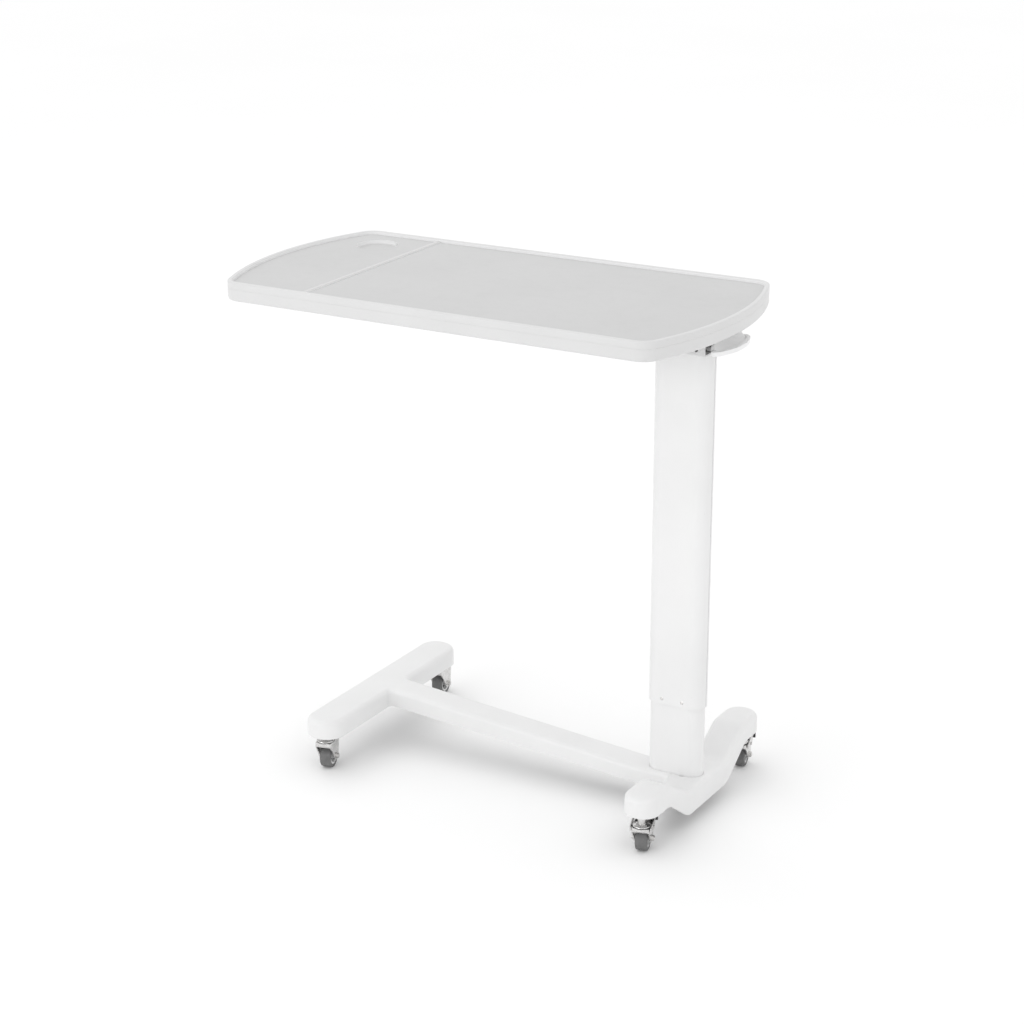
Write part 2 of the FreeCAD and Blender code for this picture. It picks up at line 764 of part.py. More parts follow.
def make_gas_cylinder():
    """Closed cylinder with a stud at its foot and a guide for the rod at its top."""
    body = new_body("gas_cylinder")
    low, top = s.cylinder_bottom, s.cylinder_top
    wall, bore = s.cylinder_radius, s.cylinder_bore
    stud, guide = s.stem_radius, s.rod_radius + s.running_gap
    half_profile(body, [
        (0.0, s.inner_bottom - 14), (stud, s.inner_bottom - 14), (stud, low), (wall, low),
        (wall, top - 4), (wall - 2, top), (guide, top), (guide, top - 12), (bore, top - 12),
        (bore, low + 6), (0.0, low + 6)])
    return keep(body, "gas_cylinder", x=s.column_x)


def make_gas_rod():
    """Piston rod with its piston and the blind bore that the release pin slides in."""
    body = new_body("gas_rod")
    low, top = s.rod_bottom, s.rod_top
    pin_bore = s.pin_radius + s.running_gap
    piston = s.cylinder_bore - s.running_gap
    half_profile(body, [
        (0.0, low), (piston, low), (piston, low + 12), (s.rod_radius, low + 12),
        (s.rod_radius, top - 1), (s.rod_radius - 1, top), (pin_bore, top), (pin_bore, top - 60),
        (0.0, top - 60)])
    return keep(body, "gas_rod", x=s.column_x)


def make_release_pin():
    """Pin at the top of the gas spring; pressing it frees the lift."""
    body = new_body("release_pin")
    low, top = s.rod_top - 50, s.rod_top + 5.2
    half_profile(body, [(0.0, low), (s.pin_radius, low), (s.pin_radius, top - 0.6),
                        (s.pin_radius - 0.6, top), (0.0, top)])
    return keep(body, "release_pin", x=s.column_x)


def hexagon(sketch, x, y, across_flats):
    radius = across_flats / math.sqrt(3)
    corners = []
    for step in range(6):
        angle = math.radians(60 * step)
        corners.append((x + radius * math.cos(angle), y + radius * math.sin(angle)))
    draw_polygon(sketch, corners)


def nut_solid(x, y, low, high, across_flats, bore):
    """Plain hexagon nut with chamfered corners."""
    radius = across_flats / math.sqrt(3)
    corners = [Vector(x + radius * math.cos(math.radians(60 * step)),
                      y + radius * math.sin(math.radians(60 * step)), low) for step in range(7)]
    prism = Part.Face(Part.makePolygon(corners)).extrude(Vector(0, 0, high - low))
    cone = Part.makeCone(across_flats * 0.5 + (high - low), across_flats * 0.5, high - low,
                         Vector(x, y, low))
    hole = Part.makeCylinder(bore, high - low + 2, Vector(x, y, low - 1))
    return prism.common(cone).cut(hole).removeSplitter()


def make_nuts(label, levels):
    """Nuts on the gas spring's axis, one for each (low, high) pair of heights."""
    bore = s.rod_radius.value + 0.1
    solids = [nut_solid(s.column_x.value, 0.0, low.value, high.value, 16.0, bore) for low, high in levels]
    nuts = doc.addObject("Part::Feature", label)
    nuts.Shape = Part.makeCompound(solids)
    return keep(nuts, label)


def make_gas_nuts():
    """Two nuts clamp the rod to the bracket, one holds the cylinder's stud in the foot plate."""
    sheet_top = s.sleeve_top + s.bracket_sheet
    plate_low = s.inner_bottom - 6
    make_nuts("gas_rod_nuts", [(sheet_top, sheet_top + 5.5), (s.sleeve_top - 6, s.sleeve_top)])
    make_nuts("gas_stud_nut", [(plate_low - 6, plate_low)])


# ---------------------------------------------------------------- base


def base_outline(sketch):
    """H shape seen from above: two cross bars joined by the beam."""
    left = s.left_bar_x
    left_half = s.left_bar_wide / 2
    right = s.right_bar_x
    right_half = s.right_bar_wide / 2
    beam = s.beam_wide / 2
    long = s.bar_half
    draw_polygon(sketch, [
        (left - left_half, -long), (left + left_half, -long), (left + left_half, -beam),
        (right - right_half, -beam), (right - right_half, -long), (right + right_half, -long),
        (right + right_half, long), (right - right_half, long), (right - right_half, beam),
        (left + left_half, beam), (left + left_half, long), (left - left_half, long)])


def arm_profile(lift, reach, side_top):
    """Upper line of the dropped cross bar as (y, z) corners, moved down by lift."""
    high, low = s.arm_top - lift, s.saddle_top - lift
    if side_top is False:
        high, low = s.arm_bottom, s.saddle_bottom
    inner = s.saddle_half if side_top else s.saddle_half + 8
    outer = s.arm_start if side_top else s.arm_start + 6
    return [(-reach, high), (-outer, high), (-inner, low), (inner, low), (outer, high), (reach, high)]


def make_base_blank():
    """Whole base casing before it is parted into its two covers."""
    body = new_body("base_blank")
    outline = new_sketch(body, "XY")
    base_outline(outline)
    pad(body, outline, Size.of(120))
    seam = s.right_bar_x - s.right_bar_wide / 2
    side = new_sketch(body, "XZ")
    draw_polygon(side, [
        (-300.0, 130.0), (-300.0, s.left_top), (s.slope_start, s.left_top),
        (s.slope_end, s.saddle_top), (seam, s.saddle_top), (seam, 130.0)])
    draw_polygon(side, [
        (-300.0, -10.0), (-300.0, s.left_bottom), (s.slope_start, s.left_bottom),
        (s.slope_end, s.beam_bottom), (seam, s.beam_bottom), (seam, -10.0)])
    pocket(body, side, Size.of(500), symmetric=True)
    reach = s.bar_half + 10
    front = new_sketch(body, "YZ", s.right_bar_x + 60)
    draw_polygon(front, [(-reach, 130.0)] + arm_profile(Size.of(0), reach, True) + [(reach, 130.0)])
    draw_polygon(front, [(-reach, -10.0)] + arm_profile(Size.of(0), reach, False) + [(reach, -10.0)])
    pocket(body, front, Size.of(60) + s.right_bar_wide / 2)

    def arm_kink(edge):
        box = span(edge)
        return (runs_along(edge, "x") and box.XMin > seam.value - 1 and box.XLength > 40
                and abs(box.YMin) < s.bar_half.value - 5)

    round_edges(body, arm_kink, Size.of(38))

    def upright_at(x_values, y_value):
        def test(edge):
            box = span(edge)
            near_x = any(abs(box.XMin - x.value) < 0.01 for x in x_values)
            return runs_along(edge, "z") and near_x and abs(abs(box.YMin) - y_value.value) < 0.01
        return test

    left_sides = [s.left_bar_x - s.left_bar_wide / 2, s.left_bar_x + s.left_bar_wide / 2]
    right_sides = [s.right_bar_x - s.right_bar_wide / 2, s.right_bar_x + s.right_bar_wide / 2]
    round_edges(body, upright_at(left_sides, s.bar_half), s.left_bar_wide / 2 - 1)
    round_edges(body, upright_at(right_sides, s.bar_half), s.right_bar_wide / 2 - 1)
    round_edges(body, upright_at(left_sides[1:], s.beam_wide / 2), Size.of(9))
    round_edges(body, upright_at(right_sides[:1], s.beam_wide / 2), Size.of(13))

    def top_rim(edge):
        """Edges where the upper surface meets the side walls."""
        faces = body.Tip.Shape.ancestorsOfType(edge, Part.Face)
        tilt = []
        for face in faces:
            middle = edge.valueAt((edge.FirstParameter + edge.LastParameter) / 2)
            u, v = face.Surface.parameter(middle)
            tilt.append(face.normalAt(u, v).z)
        return len(tilt) == 2 and max(tilt) > 0.5 and abs(min(tilt, key=abs)) < 0.05

    round_edges(body, top_rim, s.cover_round)
    hollow_base(body)
    return body


def hollow_base(body):
    """Underside channels, column opening and caster sockets of the base casing."""
    skin = s.cover_skin
    bar_reach = s.bar_half - 40
    left = new_sketch(body, "XY")
    draw_rectangle(left, s.left_bar_x, 0.0, s.left_bar_wide - 2 * skin, 2 * bar_reach)
    pocket(body, left, s.left_top - skin, backwards=True)
    beam = new_sketch(body, "XZ")
    draw_polygon(beam, [
        (s.left_bar_x, 0.0), (s.left_bar_x, s.left_top - skin), (s.slope_start, s.left_top - skin),
        (s.slope_end, s.saddle_top - skin), (s.right_bar_x, s.saddle_top - skin),
        (s.right_bar_x, 0.0)])
    pocket(body, beam, s.beam_wide - 2 * skin, symmetric=True)
    right = new_sketch(body, "YZ", s.right_bar_x)
    draw_polygon(right, [(-bar_reach, 0.0)] + arm_profile(skin, bar_reach, True) + [(bar_reach, 0.0)])
    pocket(body, right, s.right_bar_wide - 2 * skin, symmetric=True)
    opening = new_sketch(body, "XY", s.saddle_top + 10)
    draw_obround(opening, s.column_x, 0.0, s.inner_long + 0.8, s.inner_deep + 0.8)
    pocket(body, opening, Size.of(20))
    notch = new_sketch(body, "XY", s.saddle_top + 1)
    draw_rectangle(notch, s.column_x + 19, -s.inner_deep / 2 - 1, 7.0, 3.4)
    pocket(body, notch, Size.of(8))
    sockets = [(x, s.stem_y * side) for x in (s.left_bar_x, s.right_bar_x) for side in (-1, 1)]
    circle_features(body, "Pocket", Size.of(0), Size.of(88), sockets,
                    s.stem_radius + s.running_gap, backwards=True)


def make_base_cover(label, blank, low_x, high_x):
    """One of the two covers: the blank kept between two upright planes."""
    window = doc.addObject("Part::Box", f"{label}_window")
    bind(window, "Length", high_x - low_x)
    bind(window, "Width", Size.of(600))
    bind(window, "Height", Size.of(200))
    bind(window, "Placement.Base.x", low_x)
    bind(window, "Placement.Base.y", Size.of(-300))
    bind(window, "Placement.Base.z", Size.of(-20))
    cover = doc.addObject("Part::Common", label)
    cover.Base = blank
    cover.Tool = window
    return keep(cover, label)


def make_frame_left():
    """Rectangular steel tube inside the left cross bar."""
    body = new_body("frame_tube_left")
    reach = s.bar_half - 42
    sketch = new_sketch(body, "XZ")
    middle = s.left_top - s.cover_skin - 10
    draw_rectangle(sketch, s.left_bar_x, middle, 40.0, 20.0)
    draw_rectangle(sketch, s.left_bar_x, middle, 36.0, 16.0)
    pad(body, sketch, 2 * reach, symmetric=True)
    return keep(body, "frame_tube_left")


def make_frame_beam():
    """Rectangular steel tube that follows the slope of the beam."""
    body = new_body("frame_tube_beam")
    skin = s.cover_skin
    start, end = s.left_bar_x + 21, s.slope_end + 8
    fall = (s.left_top - s.saddle_top) / (s.slope_end - s.slope_start)
    start_top = s.left_top - skin - 0.5
    end_top = s.saddle_top - skin - 0.5
    tall = 18.0
    outer = new_sketch(body, "XZ")
    bend = s.slope_start
    draw_polygon(outer, [
        (start, start_top), (bend, start_top), (s.slope_end, end_top), (end, end_top),
        (end, end_top - tall), (s.slope_end, end_top - tall), (bend, start_top - tall),
        (start, start_top - tall)])
    pad(body, outer, Size.of(40), symmetric=True)
    inner = new_sketch(body, "XZ")
    draw_polygon(inner, [
        (start - 1, start_top - 2), (bend, start_top - 2), (s.slope_end, end_top - 2),
        (end + 1, end_top - 2), (end + 1, end_top + 2 - tall), (s.slope_end, end_top + 2 - tall),
        (bend, start_top + 2 - tall), (start - 1, start_top + 2 - tall)])
    pocket(body, inner, Size.of(36), symmetric=True)
    return keep(body, "frame_tube_beam")


def foot_bolt_points():
    return [(s.column_x + x, Size.of(9.5 * side)) for x in (13.0, 28.5) for side in (-1, 1)]


def make_foot_plate():
    """Thick plate that carries the column."""
    body = new_body("foot_plate")
    low = s.inner_bottom - 6
    start, end = s.slope_end + 8.5, s.right_bar_x + s.right_bar_wide / 2 - s.cover_skin - 3
    sketch = new_sketch(body, "XY", low)
    draw_rectangle(sketch, (start + end) / 2, 0.0, end - start, 44.0)
    pad(body, sketch, Size.of(6))
    circle_features(body, "Pocket", s.inner_bottom, Size.of(6), foot_bolt_points(), Size.of(4.1))
    circle_features(body, "Pocket", s.inner_bottom, Size.of(6), [(s.column_x, 0.0)],
                    s.stem_radius + s.running_gap)
    return keep(body, "foot_plate")


def make_frame_bar():
    """Bent flat bar inside the dropped cross bar, bolted under the foot plate."""
    body = new_body("frame_bar_right")
    top, thick = s.inner_bottom - 6, 6.0
    rise = s.arm_top - 14
    reach, inner, outer = s.bar_half - 42, s.saddle_half + 2, s.arm_start + 2
    sketch = new_sketch(body, "YZ", s.right_bar_x + 1)
    draw_polygon(sketch, [
        (-reach, rise), (-outer, rise), (-inner, top), (inner, top), (outer, rise), (reach, rise),
        (reach, rise - thick), (outer + 3, rise - thick), (inner + 3, top - thick),
        (-inner - 3, top - thick), (-outer - 3, rise - thick), (-reach, rise - thick)])
    pad(body, sketch, Size.of(40), symmetric=True)
    circle_features(body, "Pocket", top, Size.of(thick), foot_bolt_points(), Size.of(4.1))
    return keep(body, "frame_bar_right")


def make_foot_bolts():
    """Four bolts with nuts that join the foot plate and the bent bar."""
    solids = []
    bar_bottom = s.inner_bottom.value - 12
    for x, y in foot_bolt_points():
        shaft = Part.makeCylinder(4.0, 19.0, Vector(x.value, y.value, bar_bottom - 0.5))
        head = nut_solid(x.value, y.value, bar_bottom - 5.3, bar_bottom, 13.0, 0.5)
        nut = nut_solid(x.value, y.value, s.inner_bottom.value, s.inner_bottom.value + 5, 13.0, 0.5)
        filler = Part.makeCylinder(2.0, 30.0, Vector(x.value, y.value, bar_bottom - 5.0))
        solids.append(shaft.fuse([head, nut, filler.common(head.fuse(shaft).fuse(nut))]).removeSplitter())
    bolts = doc.addObject("Part::Feature", "foot_bolts")
    bolts.Shape = Part.makeCompound(solids)
    return keep(bolts, "foot_bolts")


# ---------------------------------------------------------------- casters


def make_stem(name, x, y, top, under, turn):
    """Threaded stem in the base with the rivet that holds the fork."""
    body = new_body(f"caster_stem_{name}")
    rivet, neck, stem = Size.of(4), s.neck_radius, s.stem_radius
    half_profile(body, [
        (0.0, top - 3.8), (6.0, top - 3.8), (6.0, top - 2.7), (rivet, top - 2.7),
        (rivet, top + 1), (neck, top + 1), (neck, under), (stem, under),
        (stem, 86.0), (stem - 1, 87.0), (0.0, 87.0)])
    return keep(body, f"caster_stem_{name}", x, y, turn=turn)


def make_cap(name, x, y, top, turn):
    """Upper ball race, a pressed dome fixed round the stem."""
    body = new_body(f"caster_cap_{name}")
    low, race = top + 0.7, s.race_radius
    neck = s.neck_radius + s.running_gap
    half_profile(body, [
        (neck, low + 1.4), (race - 6, low + 1.4), (race - 5, low), (race - 1, low), (race - 0.5, low + 0.6),
        (race - 1, low + 1.6), (race - 4, low + 2.2), (race - 6, low + 3.2), (neck, low + 3.2)])
    return keep(body, f"caster_cap_{name}", x, y, turn=turn)


def make_fork(name, x, y, top, turn):
    """Pressed fork: race plate on top, a short skirt in front and two tapered legs."""
    body = new_body(f"caster_fork_{name}")
    trail, axle_z = s.caster_trail, s.wheel_radius
    front = 1.5 - s.race_radius
    side = new_sketch(body, "YZ")
    draw_polygon(side, [
        (front, top), (trail + 11, top), (trail + 12, top - 7), (trail + 7.5, axle_z - 3),
        (trail + 4.5, axle_z - 6.5), (trail - 4.5, axle_z - 6.5), (trail - 8, axle_z - 2),
        (front, top - 5)])
    pad(body, side, s.fork_wide, symmetric=True)

    def leg_corner(edge):
        box = span(edge)
        return runs_along(edge, "x") and box.ZMax < axle_z.value and box.XLength > 20

    def front_corner(edge):
        return runs_along(edge, "z") and abs(span(edge).YMin - front.value) < 0.01

    round_edges(body, leg_corner, Size.of(4))
    round_edges(body, front_corner, Size.of(4))
    round_edges(body, lambda edge: at_height(edge, top), Size.of(1.2))
    disc = new_sketch(body, "XY", top - 3)
    draw_circle(disc, 0.0, 0.0, s.race_radius)
    pad(body, disc, Size.of(3))
    channel = new_sketch(body, "YZ")
    draw_polygon(channel, [
        (front + 2.2, 0.0), (front + 2.2, top - 2.5), (trail + 30, top - 2.5), (trail + 30, 0.0)])
    pocket(body, channel, s.fork_inner, symmetric=True)
    lower_race = new_sketch(body, "XZ")
    race = s.race_radius
    draw_polygon(lower_race, [
        (race - 5.4, top + 1), (race - 5.4, top - 0.6), (race - 4, top - 1.2), (race - 2.4, top - 0.6),
        (race - 2.4, top + 1)])
    revolve(body, lower_race, cut=True)
    circle_features(body, "Pocket", top + 1, Size.of(8), [(0.0, 0.0)], Size.of(4.1))
    axle = new_sketch(body, "YZ")
    draw_circle(axle, trail, axle_z, s.axle_radius + s.running_gap)
    pocket(body, axle, s.fork_wide + 10, symmetric=True)
    return keep(body, f"caster_fork_{name}", x, y, turn=turn)


def make_axle(name, x, y, turn):
    """Axle bolt with a hexagon head on one side of the fork and a nut on the other."""
    body = new_body(f"caster_axle_{name}")
    half = s.fork_wide / 2
    shaft = new_sketch(body, "YZ")
    draw_circle(shaft, s.caster_trail, s.wheel_radius, s.axle_radius)
    pad(body, shaft, s.fork_wide + 8, symmetric=True)
    for side in (-1, 1):
        head = new_sketch(body, "YZ", side * half)
        hexagon(head, s.caster_trail, s.wheel_radius, 8.0)
        pad(body, head, Size.of(3.4), backwards=side < 0)
    return keep(body, f"caster_axle_{name}", x, y, turn=turn)


def wheel_profile(body, corners):
    """Turned wheel part: corners are (half width, radius) pairs about the axle."""
    sketch = new_sketch(body, "XZ")
    draw_polygon(sketch, corners)
    return revolve(body, sketch, "H_Axis")


def make_hub(name, x, y, turn):
    """Plastic wheel centre: boss, thin web and a narrow rim round a deep recess."""
    body = new_body(f"caster_hub_{name}")
    bore, boss = s.axle_radius + s.running_gap, Size.of(5.2)
    rim = s.wheel_radius - 5.5
    face, lip, web = s.wheel_wide / 2 - 1.5, s.wheel_wide / 2 - 1, Size.of(1.6)
    wheel_profile(body, [
        (-face, bore), (face, bore), (face, boss), (web, boss + 0.4), (web, rim - 3.2),
        (lip, rim - 2.6), (lip, rim), (-lip, rim), (-lip, rim - 2.6), (-web, rim - 3.2),
        (-web, boss + 0.4), (-face, boss)])
    return keep(body, f"caster_hub_{name}", x, y, s.wheel_radius, turn)


def make_tyre(name, x, y, turn):
    """Grey rubber tread moulded round the wheel centre."""
    body = new_body(f"caster_tyre_{name}")
    rim = s.wheel_radius - 5.5 + s.running_gap
    wide = s.wheel_wide / 2
    radius = s.wheel_radius
    wheel_profile(body, [
        (0.6 - wide, rim), (wide - 0.6, rim), (wide, rim + 0.8), (wide, radius - 2.6),
        (wide - 0.8, radius - 0.8), (wide - 3, radius), (3 - wide, radius),
        (0.8 - wide, radius - 0.8), (-wide, radius - 2.6), (-wide, rim + 0.8)])
    return keep(body, f"caster_tyre_{name}", x, y, s.wheel_radius, turn)


def pedal_line(y, depth=0.0):
    """Height of the pedal's upper surface at y, which rises to the rear, less a depth."""
    return s.fork_top + 1 + (y + 10) * 0.26 - depth


def make_pedal(name, x, y, turn):
    """Pressed brake pedal that embraces the fork, rises to the rear and carries the shoe."""
    body = new_body(f"brake_pedal_{name}")
    reach, top = s.pedal_reach, s.fork_top
    rear = reach - 4
    side = new_sketch(body, "YZ")
    draw_polygon(side, [
        (-10.0, top - 6), (-10.0, pedal_line(-10.0)), (rear, pedal_line(rear)), (rear, pedal_line(rear, 5)),
        (18.0, top - 8), (2.0, top - 8)])
    pad(body, side, s.pedal_wide, symmetric=True)
    tread = new_sketch(body, "YZ")
    draw_polygon(tread, [
        (rear - 8, pedal_line(rear - 8)), (reach, pedal_line(reach)), (reach, pedal_line(reach, 1.8)),
        (rear - 8, pedal_line(rear - 8, 1.8))])
    pad(body, tread, s.pedal_wide + 5, symmetric=True)

    def tread_corner(edge):
        return runs_along(edge, "z") and abs(span(edge).YMin - reach.value) < 0.01

    round_edges(body, tread_corner, Size.of(3))
    inside = new_sketch(body, "YZ")
    draw_polygon(inside, [
        (-30.0, 0.0), (-30.0, top + 40), (18.0, top + 40), (18.0, pedal_line(18.0, 1.8)),
        (reach + 20, pedal_line(reach + 20, 1.8)), (reach + 20, 0.0)])
    pocket(body, inside, s.pedal_inner, symmetric=True)
    shoe = new_sketch(body, "YZ")
    draw_polygon(shoe, [
        (26.5, top - 6), (29.5, top - 7.4), (29.5, pedal_line(29.5, 0.6)), (26.5, pedal_line(26.5, 0.6))])
    pad(body, shoe, Size.of(16), symmetric=True)
    pivot = new_sketch(body, "YZ")
    draw_circle(pivot, s.pedal_pivot_y, s.pedal_pivot_z, 1.7)
    pocket(body, pivot, s.pedal_wide + 10, symmetric=True)
    return keep(body, f"brake_pedal_{name}", x, y, turn=turn)


def make_pedal_tip(name, x, y, turn):
    """Black plastic toe piece clipped under the wide end of the pedal."""
    body = new_body(f"brake_tip_{name}")
    start, end, top = s.pedal_reach - 3, s.pedal_reach + 2, s.fork_top
    side = new_sketch(body, "YZ")
    draw_polygon(side, [
        (start, pedal_line(start, 2)), (end, pedal_line(end, 2)), (end, top - 1), (end - 2, top - 4),
        (start, top - 3)])
    pad(body, side, s.pedal_wide + 4, symmetric=True)

    def lower_edge(edge):
        return runs_along(edge, "x") and span(edge).ZMax < top.value

    round_edges(body, lower_edge, Size.of(1))
    return keep(body, f"brake_tip_{name}", x, y, turn=turn)


def make_pedal_pins(name, x, y, turn):
    """Two short rivets, one in each leg of the fork, that the pedal turns on."""
    solids = []
    for side in (-1, 1):
        start = Vector(side * 12.1, s.pedal_pivot_y.value, s.pedal_pivot_z.value)
        outward = Vector(side, 0, 0)
        shank = Part.makeCylinder(1.6, 5.2, start, outward)
        head = Part.makeCylinder(2.6, 1.0, start + outward * 5.1, outward)
        solids.append(shank.fuse(head).removeSplitter())
    pins = doc.addObject("Part::Feature", f"brake_pins_{name}")
    pins.Shape = Part.makeCompound(solids)
    return keep(pins, f"brake_pins_{name}", x, y, turn=turn)


def cut_pin_holes(fork):
    """Holes for the pedal rivets in a braked fork."""
    holes = new_sketch(fork, "YZ")
    draw_circle(holes, s.pedal_pivot_y, s.pedal_pivot_z, 1.7)
    pocket(fork, holes, s.fork_wide + 10, symmetric=True)


def make_caster(name, x_side, y_side, turn, brake):
    bar_x = s.right_bar_x if x_side > 0 else s.left_bar_x
    under = s.arm_bottom if x_side > 0 else s.left_bottom
    top = s.fork_top if brake else s.plain_fork_top
    spot = (bar_x, s.stem_y * y_side)
    make_stem(name, *spot, top, under, turn)
    make_cap(name, *spot, top, turn)
    fork = make_fork(name, *spot, top, turn)
    make_axle(name, *spot, turn)
    # The wheel's own origin is on its axle, behind the stem by the trail.
    angle = math.radians(turn)
    wheel = (spot[0] - s.caster_trail * math.sin(angle), spot[1] + s.caster_trail * math.cos(angle))
    make_hub(name, *wheel, turn)
    make_tyre(name, *wheel, turn)
    if brake:
        cut_pin_holes(fork)
        make_pedal(name, *spot, turn)
        make_pedal_tip(name, *spot, turn)
        make_pedal_pins(name, *spot, turn)


def make_table():
    make_tray_top()
    make_tray_bottom()
    make_tray_plate()
    make_stiffener("stiffener_front", -1)
    make_stiffener("stiffener_rear", 1)
    make_screws("shell_screws", shell_screw_points(), s.tray_base, 1.8, 13.0)
    make_screws("bracket_screws", bracket_screw_points(), s.tray_base - s.bracket_sheet, 2.5, 11.0, 4.8)
    make_sleeve()
    make_sleeve_glide()
    make_column_glide()
    make_column_inner()
    make_sleeve_screws()
    make_bracket()
    make_release_lever()
    make_release_pivot()
    make_release_spring()
    make_gas_cylinder()
    make_gas_rod()
    make_release_pin()
    make_gas_nuts()
    blank = make_base_blank()
    seam = s.right_bar_x - s.right_bar_wide / 2
    make_base_cover("base_cover_left", blank, Size.of(-400), seam - 0.15)
    make_base_cover("base_cover_right", blank, seam + 0.15, Size.of(500))
    make_frame_left()
    make_frame_beam()
    make_foot_plate()
    make_frame_bar()
    make_foot_bolts()
    for name, (x_side, y_side, turn, brake) in CASTERS.items():
        make_caster(name, x_side, y_side, turn, brake)


def check_and_write():
    """Stop on any failed feature, then write one STEP file per part."""
    doc.recompute()
    failed = [item.Name for item in doc.Objects if {"Invalid", "Error"} & set(item.State)]
    if failed:
        raise RuntimeError(f"features failed: {failed}")
    os.makedirs("parts", exist_ok=True)
    for part in PARTS:
        shape = part.Shape
        if shape.isNull() or not shape.isValid():
            raise RuntimeError(f"{part.Label} has no valid shape")
        shape.exportStep(os.path.join("parts", f"{part.Label}.step"))
        box = shape.BoundBox
        print(f"{part.Label:28s} volume {shape.Volume:12.1f}  solids {len(shape.Solids):2d}  "
              f"x {box.XMin:8.1f} {box.XMax:8.1f}  y {box.YMin:8.1f} {box.YMax:8.1f}  "
              f"z {box.ZMin:7.1f} {box.ZMax:7.1f}")


make_table()
check_and_write()
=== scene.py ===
import json
import math

import bmesh
import bpy
from mathutils import Matrix, Vector


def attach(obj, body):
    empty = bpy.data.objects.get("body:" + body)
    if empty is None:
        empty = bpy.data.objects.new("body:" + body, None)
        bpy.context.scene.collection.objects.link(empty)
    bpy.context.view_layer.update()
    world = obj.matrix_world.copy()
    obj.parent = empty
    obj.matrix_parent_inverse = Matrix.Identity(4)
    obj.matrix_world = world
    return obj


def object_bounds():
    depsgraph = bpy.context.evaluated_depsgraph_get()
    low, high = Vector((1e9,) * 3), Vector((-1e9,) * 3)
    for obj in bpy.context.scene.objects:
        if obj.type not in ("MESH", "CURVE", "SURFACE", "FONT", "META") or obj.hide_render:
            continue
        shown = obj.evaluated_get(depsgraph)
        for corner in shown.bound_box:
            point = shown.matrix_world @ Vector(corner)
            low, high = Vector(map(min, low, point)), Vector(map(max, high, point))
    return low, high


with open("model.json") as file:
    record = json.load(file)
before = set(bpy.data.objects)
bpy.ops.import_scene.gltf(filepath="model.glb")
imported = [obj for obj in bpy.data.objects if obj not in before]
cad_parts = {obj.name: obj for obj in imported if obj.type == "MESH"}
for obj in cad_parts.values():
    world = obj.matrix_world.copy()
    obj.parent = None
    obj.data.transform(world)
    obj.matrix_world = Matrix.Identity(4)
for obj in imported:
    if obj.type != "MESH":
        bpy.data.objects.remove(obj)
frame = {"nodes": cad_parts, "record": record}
cad_low, cad_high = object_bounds()

CASTERS = ("front_left", "rear_left", "front_right", "rear_right")

RIM_HEIGHT = 0.0055
TRAY_FLOOR = cad_high.z - RIM_HEIGHT
CUP_DEPTH = 0.007
DIVIDER_X = -0.235
DIVIDER_HALF_WIDTH = 0.0041
DIVIDER_HEIGHT = 0.0023
SMOOTH_BELOW = math.radians(32)


